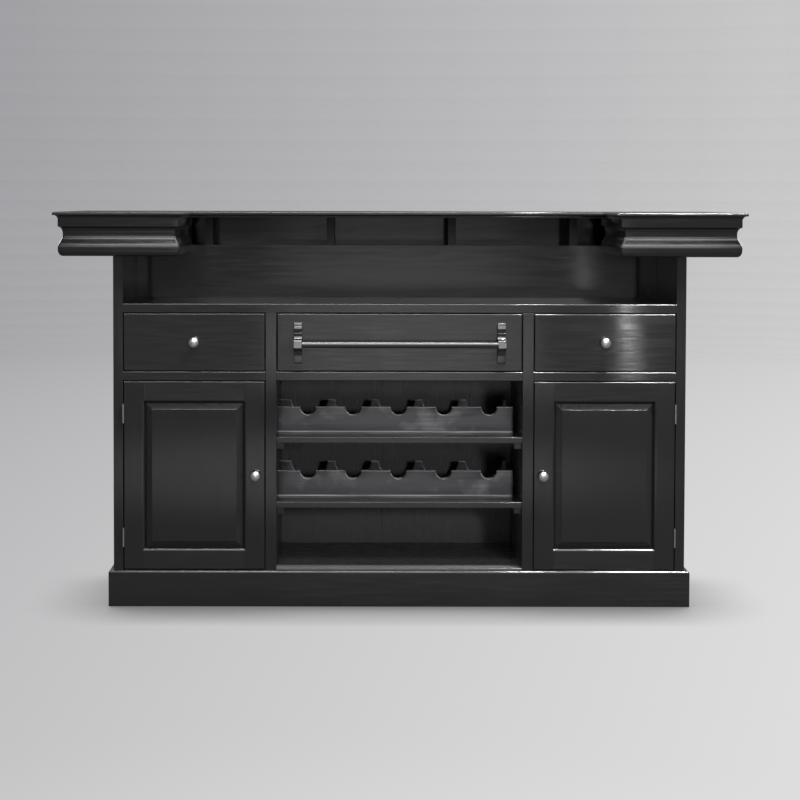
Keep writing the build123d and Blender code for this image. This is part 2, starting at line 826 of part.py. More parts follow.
save("plinth_boards", plinth_boards())
save("side_panels", pair(side_panel()))
save("partitions", pair(partition()))
save("bottom_board", [bottom_board()])
save("work_shelf", [work_shelf()])
save("drawer_shelves", drawer_shelves())
save("work_space_back", [work_space_back()])
save("lining_planks", lining_planks())
save("frame_stiles", pair(frame_stile(frame_screws)))
save("frame_mullions", pair(frame_mullion()))
save("frame_top_rail", [frame_top_rail()])
save("frame_mid_rails", frame_mid_rails())
save("frame_bottom_rails", frame_bottom_rails())
save("bar_top_centre", [top_centre])
save("bar_top_wings", top_wings)
save("top_ribs", top_ribs())
save("front_cornice", [front_cornice()])
save("end_cornices", pair(end_cornice()))
save("wing_cornices", pair(wing_rear_cornice()) + pair(wing_inner_cornice()))
save("soffit_boards", soffit_boards())
save("customer_frame", customer_frame)
save("customer_panels", customer_panels)
save("rack_shelves", [rack_shelf(lower_shelf_z), rack_shelf(upper_shelf_z)])
save("rack_cleats", rack_cleats(lower_shelf_z) + rack_cleats(upper_shelf_z))
save("neck_racks", [rack_board(z, neck_setback, neck_notch_radius, neck_notch_radius) for z in rack_floors])
save("body_racks", [rack_board(z, body_setback, body_notch_radius, body_notch_depth) for z in rack_floors])
save("drawer_guides", guides)
save("drawer_kickers", kickers)
save("hinge_frame_leaves", [leaf for hinge in hinges for leaf in pair(hinge[0])])
save("hinge_pins", [pin for hinge in hinges for pin in pair(hinge[2])])
save("hinge_frame_screws", [screw for one in frame_screws for screw in pair(one)])
save("door_catches", pair(door_catch()))

for name, low_x, high_x in (("left", -stile_x, -mullion_x), ("right", mullion_x, stile_x)):
    front, box, bottom, handle, screw = outer_drawer(low_x, high_x)
    save(name + "_drawer_front", [front])
    save(name + "_drawer_box", box)
    save(name + "_drawer_bottom", [bottom])
    save(name + "_drawer_knob", [handle])
    save(name + "_drawer_knob_screw", [screw])

centre_box, centre_bottom = drawer_box(-bay_x, bay_x)
rail, brackets, bracket_screws = rail_handle()
save("centre_drawer_front", [drawer_front(-bay_x, bay_x) - centre_bottom - bracket_screws])
save("centre_drawer_box", centre_box)
save("centre_drawer_bottom", [centre_bottom])
save("handle_rail", [rail])
save("handle_brackets", brackets)
save("handle_screws", bracket_screws)

door_frame, door_panel, door_knob, door_leaves, door_screws = right_door(hinges)
door_pieces = {
    "door_frame": door_frame,
    "door_panel": [door_panel],
    "door_knob": [door_knob],
    "door_hinge_leaves": door_leaves,
    "door_screws": door_screws,
    "door_strike": [strike_plate()],
}
for name, pieces in door_pieces.items():
    save("right_" + name, pieces)
    save("left_" + name, [mirror(piece, about=Plane.YZ) for piece in pieces])
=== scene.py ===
# %% [markdown]
# A home bar counter, seen from the side where the bartender stands. The real one is hardwood boards under
# satin black lacquer: a winged top on a moulded cornice, a work shelf, three drawers, two panelled doors
# and a rack for wine. The boards themselves come as a fixed frame of solids in metres. This lesson gives
# them their finishes, makes the turned and moulded pieces again as finer surfaces, and sets light and
# camera.

# %% Load the frame
import json
import math

import bpy
import numpy as np
from mathutils import Matrix, Vector


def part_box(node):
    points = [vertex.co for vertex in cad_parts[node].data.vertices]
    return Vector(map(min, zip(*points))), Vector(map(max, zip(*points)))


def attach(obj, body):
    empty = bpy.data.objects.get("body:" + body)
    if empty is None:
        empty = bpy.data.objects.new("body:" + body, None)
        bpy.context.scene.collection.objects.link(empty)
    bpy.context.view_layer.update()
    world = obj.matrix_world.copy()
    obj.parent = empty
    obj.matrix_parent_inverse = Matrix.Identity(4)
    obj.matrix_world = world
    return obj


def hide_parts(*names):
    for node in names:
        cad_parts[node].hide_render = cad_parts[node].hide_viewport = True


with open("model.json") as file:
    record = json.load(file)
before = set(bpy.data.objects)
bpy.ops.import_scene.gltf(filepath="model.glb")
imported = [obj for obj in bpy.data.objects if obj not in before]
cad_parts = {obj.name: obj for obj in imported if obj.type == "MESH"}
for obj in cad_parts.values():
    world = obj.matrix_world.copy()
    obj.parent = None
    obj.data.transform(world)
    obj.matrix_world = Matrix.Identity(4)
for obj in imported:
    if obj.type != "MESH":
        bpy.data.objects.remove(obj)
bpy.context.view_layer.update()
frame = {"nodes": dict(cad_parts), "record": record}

nodes = frame["nodes"]


# %% [markdown]
# Finishes come first, because every piece needs one. Colours are easiest to judge as the hex values of a
# screen, but light adds up in linear values, so one function turns the one into the other. A second
# function adds a node with its settings and links. It is all that the materials below need.

# %% Colours and nodes
MM = 0.001


def linear(hex_colour):
    """Screen colour to linear light: a straight line near black, and a power of 2.4 above it."""
    screen = np.array([int(hex_colour[start:start + 2], 16) for start in (1, 3, 5)]) / 255
    light = np.where(screen <= 0.04045, screen / 12.92, ((screen + 0.055) / 1.055) ** 2.4)
    return (*light.tolist(), 1.0)


def add(tree, kind, sockets=None, **settings):
    """Add a node: settings are its properties, sockets its inputs, each a value or an output to link."""
    node = tree.nodes.new("ShaderNode" + kind)
    for name, value in settings.items():
        setattr(node, name, value)
    for name, value in (sockets or {}).items():
        if isinstance(value, bpy.types.NodeSocket):
            tree.links.new(value, node.inputs[name])
        else:
            node.inputs[name].default_value = value
    return node


def finish_of(name):
    """A new empty material and its node tree."""
    material = bpy.data.materials.new(name)
    material.use_nodes = True
    material.node_tree.nodes.clear()
    return material, material.node_tree


print("one lacquer black in linear light:", [round(value, 4) for value in linear("#1a1a1b")[:3]])


# %% [markdown]
# The notched boards of the wine rack are painted pale along the foot, on the rims of the notches and in
# patches. Along the foot and in the patches that is partly wear, where the lacquer is rubbed through, and
# partly painted highlight and glare. On the rims it is painted highlight: only rims that face the light at
# the upper right get it. Wear could be painted on by hand, but a rule fits every board: the height above a
# shelf, the way that a face looks and a noise say how pale the board is, and the grain breaks that up. The
# function comes first, because the lacquer calls it.

# %% Worn places
# How high the pale band of wear and painted highlight reaches from the foot, which way the rims painted as
# highlight face, towards the light, and how much the patches of wear and painted glare show.
PALE_FOOT_BAND = 6 * MM
LIT_SIDE = (0.5, 0.0, 0.87)
PATCH_WEAR_AND_GLARE = 0.16
PALE_WEAR_AND_HIGHLIGHT = "#c8c8ca"


def pale_wear_and_painted_highlight(tree, colour, grain, patch, feet):
    """Mix in pale wear and painted highlight at the foot and in patches, and painted highlight on lit rims.
    """
    height = add(tree, "SeparateXYZ", {0: add(tree, "TexCoord").outputs["Object"]}).outputs[2]
    # A pale band along the foot of each board: wear and painted highlight.
    above = add(tree, "Math", {0: height, 1: feet[1], 2: feet[0]}, operation="WRAP")
    near = add(tree, "MapRange", {"Value": above.outputs[0], "From Min": feet[0],
                                  "From Max": feet[0] + PALE_FOOT_BAND, "To Min": 1.0, "To Max": 0.0})
    # Rims that face the light at the upper right are painted pale: a painted highlight.
    facing = add(tree, "NewGeometry").outputs["Normal"]
    facing_light = add(tree, "VectorMath", {0: facing, 1: LIT_SIDE}, operation="DOT_PRODUCT")
    highlit_rim = add(tree, "MapRange", {"Value": facing_light.outputs["Value"], "From Min": 0.3, "From Max": 0.7,
                                 "To Min": 0.0, "To Max": 1.0})
    # Pale patches from a noise: wear and painted glare.
    handled_and_glare = add(tree, "MapRange", {"Value": patch, "From Min": 0.52, "From Max": 0.66,
                                     "To Min": 0.0, "To Max": PATCH_WEAR_AND_GLARE})
    foot_and_rims = add(tree, "Math", {0: near.outputs[0], 1: highlit_rim.outputs[0]}, operation="MAXIMUM")
    wear_and_highlight = add(tree, "Math", {0: foot_and_rims.outputs[0], 1: handled_and_glare.outputs[0]}, operation="MAXIMUM")
    streak = add(tree, "MapRange", {"Value": grain, "From Min": 0.4, "From Max": 0.65,
                                    "To Min": 0.4, "To Max": 1.0})
    pale_mark = add(tree, "Math", {0: wear_and_highlight.outputs[0], 1: streak.outputs[0]}, operation="MULTIPLY")
    worn = add(tree, "Mix", {0: pale_mark.outputs[0], 6: colour, 7: linear(PALE_WEAR_AND_HIGHLIGHT)}, data_type="RGBA")
    return worn.outputs[2]


# The pale band at the foot is wear and painted highlight together.
print("bare wood shows up to", round(PALE_FOOT_BAND / MM), "mm above a shelf")


# %% [markdown]
# The counter is hardwood, sanded, stained and sprayed with black lacquer that dries to a satin sheen. The
# grain still shows through as long shallow lines, and the arrises are thin where hands and cloths have
# polished them. The lacquer was rubbed down along the grain. Such fine scratches spread a highlight across
# the grain, so a lamp shows as an upright streak on a level board. In Blender that is anisotropy, with a
# tangent along the grain. The strokes of the rubbing overlap, so the sheen changes a little from one to the
# next. Grain and strokes are drawn wider than real ones, which would be finer than a pixel here. Rounded
# arrises come from a Bevel node, so that every board edge catches the light in a thin line, as it does on
# the real one.

# %% Black lacquer over hardwood
GRAIN_WIDTH = 3.2 * MM
GRAIN_LENGTH = 170 * MM
GRAIN_DEPTH = 0.10 * MM
STROKE_WIDTH = 8 * MM
STROKE_LENGTH = 110 * MM
SHEEN_PATCH = 95 * MM
ARRIS = 1.2 * MM
WORN_ARRIS = "#3a3633"
# Rubbing draws a highlight out, fully at 1. Across the grain is a quarter turn from along it.
RUBBING = 0.99
ACROSS_GRAIN = 0.25
# The tangent leans a little off the grain, so that it never points straight out of a face.
LEAN = 0.05


def pattern_scale(along, length, width):
    """Scales that draw a pattern out along one axis: one over its length there, and one over its width."""
    return [1 / (length if axis == along else width) for axis in "XYZ"]


def lacquer(name, along, deep, pale, smooth, rough, polish=0.0, shine=0.5, feet=None):
    """Lacquered hardwood: dark, even colour with faint grain lines along one axis and lighter arrises.

    Smooth and rough are the roughness of the smoothest and the roughest strokes. Polish is a clear coat on
    top, and shine is how much the surface mirrors, 0.5 for a lacquer. Feet are the heights of two shelves: a
    board that stands on them gets pale wear and painted highlight.
    """
    material, tree = finish_of(name)
    place = add(tree, "TexCoord").outputs["Object"]
    grain_scale = pattern_scale(along, GRAIN_LENGTH, GRAIN_WIDTH)
    stretched = add(tree, "Mapping", {"Vector": place, "Scale": grain_scale})
    grain = add(tree, "TexNoise", {"Vector": stretched.outputs[0], "Scale": 1.0, "Detail": 4.0,
                                   "Roughness": 0.62, "Distortion": 0.4}).outputs[0]
    stroke_scale = pattern_scale(along, STROKE_LENGTH, STROKE_WIDTH)
    drawn_out = add(tree, "Mapping", {"Vector": place, "Scale": stroke_scale})
    stroke = add(tree, "TexNoise", {"Vector": drawn_out.outputs[0], "Scale": 1.0, "Detail": 3.0})
    patch = add(tree, "TexNoise", {"Vector": place, "Scale": 1 / SHEEN_PATCH, "Detail": 3.0}).outputs[0]
    rounded = add(tree, "Bevel", {"Radius": ARRIS}, samples=6)
    flat = add(tree, "NewGeometry")
    facing = add(tree, "VectorMath", {0: flat.outputs["Normal"], 1: rounded.outputs[0]},
                 operation="DOT_PRODUCT")
    edge = add(tree, "MapRange", {"Value": facing.outputs["Value"], "From Min": 0.99, "From Max": 0.80,
                                  "To Min": 0.0, "To Max": 1.0})
    worn = add(tree, "Math", {0: edge.outputs[0], 1: patch}, operation="MULTIPLY")
    plain = add(tree, "Mix", {0: grain, 6: linear(deep), 7: linear(pale)}, data_type="RGBA")
    colour = add(tree, "Mix", {0: worn.outputs[0], 6: plain.outputs[2], 7: linear(WORN_ARRIS)},
                 data_type="RGBA").outputs[2]
    # Boards on shelves get pale wear and painted highlight at the foot and in patches, and on lit rims.
    if feet:
        colour = pale_wear_and_painted_highlight(tree, colour, grain, patch, feet)
    sheen = add(tree, "MapRange", {"Value": stroke.outputs[0], "From Min": 0.35, "From Max": 0.65,
                                   "To Min": smooth, "To Max": rough})
    bump = add(tree, "Bump", {"Height": grain, "Strength": 0.22, "Distance": GRAIN_DEPTH,
                              "Normal": rounded.outputs[0]})
    with_grain = add(tree, "CombineXYZ", {axis: 1.0 if axis == along else LEAN for axis in "XYZ"})
    skin = add(tree, "BsdfPrincipled", {"Base Color": colour, "Roughness": sheen.outputs[0], "IOR": 1.5,
                                        "Specular IOR Level": shine, "Normal": bump.outputs[0],
                                        "Anisotropic": RUBBING, "Anisotropic Rotation": ACROSS_GRAIN,
                                        "Tangent": with_grain.outputs[0],
                                        "Coat Weight": polish, "Coat Roughness": smooth})
    add(tree, "OutputMaterial", {"Surface": skin.outputs[0]})
    return material


print("grain lines", round(GRAIN_WIDTH / MM, 1), "mm wide, strokes", round(STROKE_WIDTH / MM), "mm")


# %% [markdown]
# The black finishes differ in tone, sheen and coats alone, so the one function makes them all. The show
# faces have the most coats. The rack and the lining got one thin coat, which is greyer and scatters the
# light more. The ribs under the top are darkened to near black as painted shade, because the top shades
# them, and the handle has a clear coat over its gloss. Grain runs along one axis of a material, so a
# finish is made once for each way that its boards lie.

# %% Black finishes
# Satin on the show faces: near black, with a soft streak under each lamp.
satin = {along: lacquer("satin_black_lacquer_on_hardwood_grain_" + along.lower(), along,
                        deep="#121213", pale="#1a1a1b", smooth=0.1, rough=0.165) for along in "XYZ"}
# One thin coat: dark grey and dull, with the grain plain to see.
thin = {along: lacquer("thin_black_lacquer_on_hardwood_grain_" + along.lower(), along,
                       deep="#343436", pale="#404042", smooth=0.22, rough=0.28) for along in "XZ"}
# Painted shade on the ribs under the top: darkened to flat black that mirrors next to nothing.
shade_black = lacquer("black_lacquer_darkened_as_painted_shade", "X",
                deep="#0c0c0d", pale="#141415", smooth=0.3, rough=0.36, shine=0.2)
# Gloss on the handle: deep black with small sharp lights.
gloss = lacquer("gloss_black_lacquer_on_turned_hardwood", "X",
                deep="#0f0f10", pale="#151516", smooth=0.06, rough=0.09, polish=1.0)
print("lacquers:", [material.name for material in (*satin.values(), *thin.values(), shade_black, gloss)])


# %% [markdown]
# The knobs are cast pewter, turned and polished on the crown: a soft white metal with a slightly cloudy
# sheen. Hinges, strike plates and screws are rolled steel, plain and a little darker. The catches are
# moulded plastic with a fine spark texture. A metal could be one flat grey, but it is the change of tone
# and sheen over its skin that tells cast from rolled, so one noise drives both.

# %% Metals and plastic
CLOUD = 5 * MM
ROLLING_LINE = 0.6 * MM
ROLLING_LENGTH = 25 * MM
SPARK = 0.5 * MM


def metal(name, colour, shade, stretch, smooth, rough):
    """A metal whose tone and sheen vary with one noise: cloudy where it is round, drawn out where rolled."""
    material, tree = finish_of(name)
    place = add(tree, "TexCoord").outputs["Object"]
    scaled = add(tree, "Mapping", {"Vector": place, "Scale": stretch})
    cloud = add(tree, "TexNoise", {"Vector": scaled.outputs[0], "Scale": 1.0, "Detail": 5.0})
    tone = add(tree, "Mix", {0: cloud.outputs[0], 6: linear(shade), 7: linear(colour)}, data_type="RGBA")
    sheen = add(tree, "MapRange", {"Value": cloud.outputs[0], "From Min": 0.3, "From Max": 0.7,
                                   "To Min": smooth, "To Max": rough})
    bump = add(tree, "Bump", {"Height": cloud.outputs[0], "Strength": 0.08, "Distance": 0.1 * MM})
    skin = add(tree, "BsdfPrincipled", {"Base Color": tone.outputs[2], "Metallic": 1.0,
                                        "Roughness": sheen.outputs[0], "Normal": bump.outputs[0]})
    add(tree, "OutputMaterial", {"Surface": skin.outputs[0]})
    return material


def moulded_plastic(name, colour):
    """Matt moulded plastic: one colour with a fine spark-eroded roughness."""
    material, tree = finish_of(name)
    place = add(tree, "TexCoord").outputs["Object"]
    spark = add(tree, "TexNoise", {"Vector": place, "Scale": 1 / SPARK, "Detail": 2.0})
    bump = add(tree, "Bump", {"Height": spark.outputs[0], "Strength": 0.3, "Distance": 0.05 * MM})
    skin = add(tree, "BsdfPrincipled", {"Base Color": linear(colour), "Roughness": 0.55,
                                        "IOR": 1.46, "Normal": bump.outputs[0]})
    add(tree, "OutputMaterial", {"Surface": skin.outputs[0]})
    return material


# Pewter: a pale metal with soft, slightly cloudy lights.
pewter = metal("polished_cast_pewter", colour="#d9d8d5", shade="#bcbbb8", stretch=[1 / CLOUD] * 3,
               smooth=0.28, rough=0.38)
# Rolled steel: darker, with lights drawn out along the rolling.
steel = metal("rolled_steel", colour="#b4b3b0", shade="#8f8e8b",
              stretch=pattern_scale("Z", ROLLING_LENGTH, ROLLING_LINE), smooth=0.24, rough=0.36)
# Plastic: black and matt, with no clear reflection.
plastic = moulded_plastic("black_moulded_plastic", "#1b1b1c")
print("metals:", pewter.name, steel.name, "and", plastic.name)


# %% [markdown]
# Inside, the drawers are bare hardwood with a coat of wax. Growth rings cut lengthwise show as wavy
# darker lines one or two centimetres apart, with short fine pores between them. Two noises that are drawn
# out along the board give both. Unlike the picture of a board, they never repeat, and they keep their
# real size on every piece.

# %% Waxed bare hardwood
RING_GAP = 11 * MM
RING_LENGTH = RING_GAP / 0.12
PORE_LENGTH = 24 * MM
PORE_WIDTH = 0.9 * MM


def bare_wood(name, along):
    """Wavy ring lines drawn out along one axis, with pores as a finer stretched noise over them."""
    material, tree = finish_of(name)
    place = add(tree, "TexCoord").outputs["Object"]
    ring_scale = pattern_scale(along, RING_LENGTH, RING_GAP)
    ring_place = add(tree, "Mapping", {"Vector": place, "Scale": ring_scale})
    pore_scale = pattern_scale(along, PORE_LENGTH, PORE_WIDTH)
    pore_place = add(tree, "Mapping", {"Vector": place, "Scale": pore_scale})
    rings = add(tree, "TexNoise", {"Vector": ring_place.outputs[0], "Scale": 0.7, "Detail": 2.5,
                                   "Distortion": 0.8})
    pores = add(tree, "TexNoise", {"Vector": pore_place.outputs[0], "Scale": 1.0, "Detail": 3.0})
    tone = add(tree, "Mix", {0: rings.outputs[0], 6: linear("#9c7446"), 7: linear("#d0a873")},
               data_type="RGBA")
    line = add(tree, "MapRange", {"Value": pores.outputs[0], "From Min": 0.56, "From Max": 0.72,
                                  "To Min": 0.0, "To Max": 0.55})
    grained = add(tree, "Mix", {0: line.outputs[0], 6: tone.outputs[2], 7: linear("#7b5833")},
                  data_type="RGBA")
    bump = add(tree, "Bump", {"Height": pores.outputs[0], "Strength": 0.25, "Distance": 0.1 * MM})
    skin = add(tree, "BsdfPrincipled", {"Base Color": grained.outputs[2], "Roughness": 0.48,
                                        "IOR": 1.5, "Normal": bump.outputs[0]})
    add(tree, "OutputMaterial", {"Surface": skin.outputs[0]})
    return material


# Waxed bare wood: warm tan with darker wavy lines, the only colour on the counter.
waxed = bare_wood("waxed_bare_hardwood_grain_y", "Y")
print("bare wood:", waxed.name)


# %% [markdown]
# Each board of the frame now gets its finish. The record says which slot a node has, and the lists below
# say which way its grain runs, which boards got the thin coat, and which are darkened as painted shade.
# Frames have both directions: their upright stiles and their level rails are in one node, so a face takes
# its grain from the member that it lies on.

# %% Dress the boards
UPRIGHT = ["side_panels", "partitions", "lining_planks", "frame_stiles", "frame_mullions", "customer_panels",
           "left_door_panel", "right_door_panel"]
FORE_AND_AFT = ["end_cornices", "bar_top_wings", "rack_cleats", "drawer_guides", "drawer_kickers"]
THIN_COAT = ["lining_planks", "neck_racks", "body_racks", "partitions", "drawer_shelves", "bottom_board"]
# The ribs under the top are darkened to near black as painted shade.
DARKENED_AS_SHADE = ["top_ribs"]
PANEL_MEMBER = 57 * MM


def paint(node, *finishes):
    """Give a node its finishes, in the order of its material slots."""
    mesh = nodes[node].data
    mesh.materials.clear()
    for material in finishes:
        mesh.materials.append(material)


def face_centres(node):
    """The centre of every face of a node, as one array."""
    mesh = nodes[node].data
    centres = np.empty(3 * len(mesh.polygons), np.float32)
    mesh.polygons.foreach_get("center", centres)
    return centres.reshape(-1, 3)


def lacquer_of(node):
    """The lacquer of a node: its coat, and the axis that its grain runs along."""
    # Ribs get the finish darkened as painted shade.
    if node in DARKENED_AS_SHADE:
        return shade_black
    coat = thin if node in THIN_COAT else satin
    if node in UPRIGHT:
        return coat["Z"]
    return coat["Y"] if node in FORE_AND_AFT else coat["X"]


slot_of = {row["node"]: row["material_slot"] for row in frame["record"]["subparts"]}
plain_finish = {"handle_lacquer": gloss, "drawer_wood": waxed, "pewter": pewter,
                "hardware_steel": steel, "catch_plastic": plastic}
for node, slot in slot_of.items():
    paint(node, lacquer_of(node) if slot == "black_lacquer" else plain_finish[slot])

for node, bays in (("left_door_frame", 1), ("right_door_frame", 1), ("customer_frame", 3)):
    low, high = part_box(node)
    pitch = (high.x - low.x - PANEL_MEMBER) / bays
    on_rail = np.mod(face_centres(node)[:, 0] - low.x, pitch) > PANEL_MEMBER
    paint(node, satin["Z"], satin["X"])
    nodes[node].data.polygons.foreach_set("material_index", on_rail.astype(np.int32))
print("dressed", len(slot_of), "nodes,", len(THIN_COAT), "of them with the thin coat")


# %% [markdown]
# The pieces that a maker turns, moulds or saws to a curve are made again, finer than the solids. Each of
# them is a stack of rings: a closed outline that is carried along a path and capped at both ends. Such a
# stack is an array of points, rings by places round the ring, so numpy can work out the whole piece at
# once. Rings run anticlockwise about the way that the stack goes, which turns every face outwards.

# %% Stacks of rings
CREASE = math.radians(38)


def stacked(name, stacks, finish, body, replaced):
    """One object from stacks of rings. It takes the place, body and slot of the nodes that it stands for."""
    points = np.concatenate([rings.reshape(-1, 3) for rings in stacks])
    faces = []
    first = 0
    for rings in stacks:
        number = first + np.arange(rings.shape[0] * rings.shape[1]).reshape(rings.shape[:2])
        after = np.roll(number, -1, axis=1)
        walls = np.stack([number[:-1], after[:-1], after[1:], number[1:]], axis=2).reshape(-1, 4)
        faces += walls.tolist() + [number[0, ::-1].tolist(), number[-1].tolist()]
        first += number.size
    mesh = bpy.data.meshes.new(name)
    mesh.from_pydata(points.tolist(), [], faces)
    mesh.polygons.foreach_set("use_smooth", [len(face) == 4 for face in faces])
    mesh.set_sharp_from_angle(angle=CREASE)
    mesh.materials.append(finish)
    piece = bpy.data.objects.new(name, mesh)
    bpy.context.scene.collection.objects.link(piece)
    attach(piece, body)
    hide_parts(*replaced)
    print(name, "has", len(faces), "faces in", len(stacks), "stacks")
    return piece


def arc(centre, radii, start, end, steps=8):
    """Points on an ellipse: centre plus the radii times cosine and sine, from one angle to another."""
    angle = np.radians(np.linspace(start, end, steps))
    return np.stack([centre[0] + radii[0] * np.cos(angle), centre[1] + radii[1] * np.sin(angle)], axis=1)


print("a quarter round of", len(arc((0, 0), (1, 1), 0, 90)), "points")


# %% [markdown]
# The cornice is a run of moulded boards under the top. A spindle moulder cuts the same section into every
# board: a plain fascia, a hollow, a flat, and an ogee that swells into a belly and rolls under. The section
# could be drawn point by point. Arcs and half a cosine wave take fewer sizes, and stay smooth when one of
# them changes.

# %% Section of the cornice
FASCIA = 23 * MM
HOLLOW = 19 * MM
FLAT = 4 * MM
OGEE = 34 * MM
BELLY = 5 * MM
ROLL_UNDER = 18 * MM
RELIEF = 12 * MM
CORNICE_BOARD = 26 * MM
FASCIA_ARRIS = 1.6 * MM


def cornice_section():
    """Depth behind the face and drop below the top, round the section.

    The hollow and the roll are quarter ellipses. The ogee is half a cosine wave from the flat to the belly.
    """
    hollow_top = FASCIA
    ogee_top = FASCIA + HOLLOW + FLAT
    belly_top = ogee_top + OGEE
    roll_top = belly_top + BELLY
    height = roll_top + ROLL_UNDER
    along = np.linspace(0, 1, 22)
    ogee = np.stack([RELIEF * (1 + np.cos(np.pi * along)) / 2, ogee_top + OGEE * along], axis=1)
    return np.concatenate([
        [(0, 0)],
        arc((FASCIA_ARRIS, hollow_top - FASCIA_ARRIS), (-FASCIA_ARRIS, FASCIA_ARRIS), 0, 90, 5),
        arc((0, hollow_top + HOLLOW), (RELIEF, -HOLLOW), 80, 0, 14),
        ogee,
        arc((RELIEF, roll_top), (-RELIEF, ROLL_UNDER), 0, 90, 14),
        [(CORNICE_BOARD, height), (CORNICE_BOARD, 0)],
    ])


print("cornice section of", len(cornice_section()), "points")


# %% [markdown]
# The boards are mitred, so that the section runs on round each corner. Here the section is carried along a
# straight run. At an outer corner a point that lies deeper by some amount also ends sooner by that amount,
# which is a mitre of 45 degrees. Sanding has taken the sharpness off the corner, so each board is rounded
# off towards its mitre.

# %% Mitred boards
MITRE_EASE = 4 * MM


def cornice_end(depth, mitred, steps=5):
    """Where the points of the section lie along a board near one end, and how much deeper they go there.

    A square end is one ring. A mitred end is rounded off by an eighth of a circle, up to the mitre's plane.
    """
    turn = np.radians(np.linspace(45, 0, steps if mitred else 1))[:, None]
    ease = MITRE_EASE * mitred
    along = depth * mitred + ease * (1 - np.sin(turn))
    deeper = np.minimum(depth + ease * (1 - np.cos(turn)), CORNICE_BOARD)
    return along, deeper


def cornice_board(start, end, mitred_start, mitred_end, top):
    """The section carried from start to end, with each end drawn in by the depth where it is mitred."""
    section = cornice_section()
    way = np.subtract(end, start)
    length = np.hypot(*way)
    way = way / length
    face = np.array([way[1], -way[0]])
    near, near_depth = cornice_end(section[:, 0], mitred_start)
    far, far_depth = cornice_end(section[:, 0], mitred_end)
    places = np.concatenate([near, length - far[::-1]])
    depth = np.concatenate([near_depth, far_depth[::-1]])
    flat = np.asarray(start) + places[..., None] * way - depth[..., None] * face
    height = np.broadcast_to(top - section[:, 1], places.shape)
    return np.concatenate([flat, height[..., None]], axis=2)


print("mitres rounded over", round(MITRE_EASE / MM), "mm")


# %% [markdown]
# The runs go anticlockwise round the top, with the face on their right hand. Their corners are worked out
# from the frame. Both ends of a run are mitred, except where it ends against a board.

# %% Cornice
front_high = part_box("front_cornice")[1]
wing_low, wing_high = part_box("wing_cornices")
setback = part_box("bar_top_wings")[1].x - front_high.x
inner_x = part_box("bar_top_centre")[1].x + setback
outer_x, front_y, cornice_top = front_high
rear_y = wing_low.y
lining_y = wing_high.y

runs = {
    "front_cornice": [((outer_x, front_y), (-outer_x, front_y), 1, 1)],
    "end_cornices": [
        ((-outer_x, front_y), (-outer_x, rear_y), 1, 1),
        ((outer_x, rear_y), (outer_x, front_y), 1, 1),
    ],
    "wing_cornices": [
        ((-outer_x, rear_y), (-inner_x, rear_y), 1, 1),
        ((-inner_x, rear_y), (-inner_x, lining_y), 1, 0),
        ((inner_x, lining_y), (inner_x, rear_y), 0, 1),
        ((inner_x, rear_y), (outer_x, rear_y), 1, 1),
    ],
}
moulded = {}
for node, boards in runs.items():
    stacks = [cornice_board(*board, cornice_top) for board in boards]
    moulded[node] = stacked("moulded_" + node, stacks, lacquer_of(node), "carcase", [node])


# %% [markdown]
# The four knobs are cast and then turned on a lathe: a small foot, a thin neck and a domed head. A lathe
# makes a profile times a circle, so the knob is the radius and the length of that profile, turned about
# an axis that points out of the front. The foot spreads in a quarter ellipse, the head swells in another,
# and the dome is a third, a little flatter than a ball.

# %% Knobs
KNOB_RADIUS = 14.5 * MM
KNOB_LENGTH = 28 * MM
KNOB_NECK = 4.8 * MM
KNOB_FOOT = 7.5 * MM
FOOT_HEIGHT = 3 * MM
HEAD_START = 11 * MM
WIDEST = 18.5 * MM
CROWN_FLAT = 0.4 * MM


def knob_profile():
    """Radius and distance from the front, from the foot to the crown."""
    spread = KNOB_FOOT - KNOB_NECK
    swell = KNOB_RADIUS - KNOB_NECK
    dome = KNOB_LENGTH - WIDEST
    crown_angle = math.degrees(math.acos(CROWN_FLAT / KNOB_RADIUS))
    return np.concatenate([
        arc((KNOB_FOOT, FOOT_HEIGHT), (-spread, -FOOT_HEIGHT), 90, 0, 8),
        arc((KNOB_NECK, WIDEST), (swell, HEAD_START - WIDEST), 90, 0, 14),
        arc((0, WIDEST), (KNOB_RADIUS, dome), 0, crown_angle, 24)[1:],
    ])


def turned(profile, centre, turns=64):
    """A profile turned about an axis that points towards the bartender, starting at centre."""
    angle = np.linspace(0, 2 * np.pi, turns, endpoint=False)
    x = centre[0] + profile[:, :1] * np.cos(angle)
    y = np.broadcast_to(centre[1] - profile[:, 1:], x.shape)
    z = centre[2] + profile[:, :1] * np.sin(angle)
    return np.stack([x, y, z], axis=2)


for body in ("left_drawer", "right_drawer", "left_door", "right_door"):
    low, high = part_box(body + "_knob")
    centre = ((low.x + high.x) / 2, high.y, (low.z + high.z) / 2)
    stacked(body + "_turned_knob", [turned(knob_profile(), centre)], pewter, body, [body + "_knob"])


# %% [markdown]
# The wide drawer is pulled by a round rail between two brackets. The rail is turned too, but about a
# level axis and with a slight swell in the middle, as a hand plane and a scraper leave it. The brackets
# are sawn to a stepped and scrolled side view, and come after it.

# %% Rail
RAIL_SWELL = 0.5 * MM


def rail_rings(low, high, stations=41, turns=40):
    """Circles along X, fullest in the middle: a cosine of the way along takes the swell off the radius."""
    along = np.linspace(-1, 1, stations)[:, None]
    angle = np.linspace(0, 2 * np.pi, turns, endpoint=False)
    radius = (high.z - low.z) / 2 - RAIL_SWELL * (1 - np.cos(along * np.pi / 2))
    x = np.broadcast_to((low.x + high.x) / 2 + along * (high.x - low.x) / 2, (stations, turns))
    y = (low.y + high.y) / 2 + radius * np.cos(angle)
    z = (low.z + high.z) / 2 + radius * np.sin(angle)
    return np.stack([x, y, z], axis=2)


rail = stacked("turned_handle_rail", [rail_rings(*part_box("handle_rail"))], gloss, "centre_drawer",
               ["handle_rail"])


# %% [markdown]
# A sawn board with eased edges is its outline carried through the thickness. Towards each face the
# outline is drawn in along a quarter circle, which is what a round-over cutter leaves. The same function
# makes the brackets and the notched boards of the wine rack.

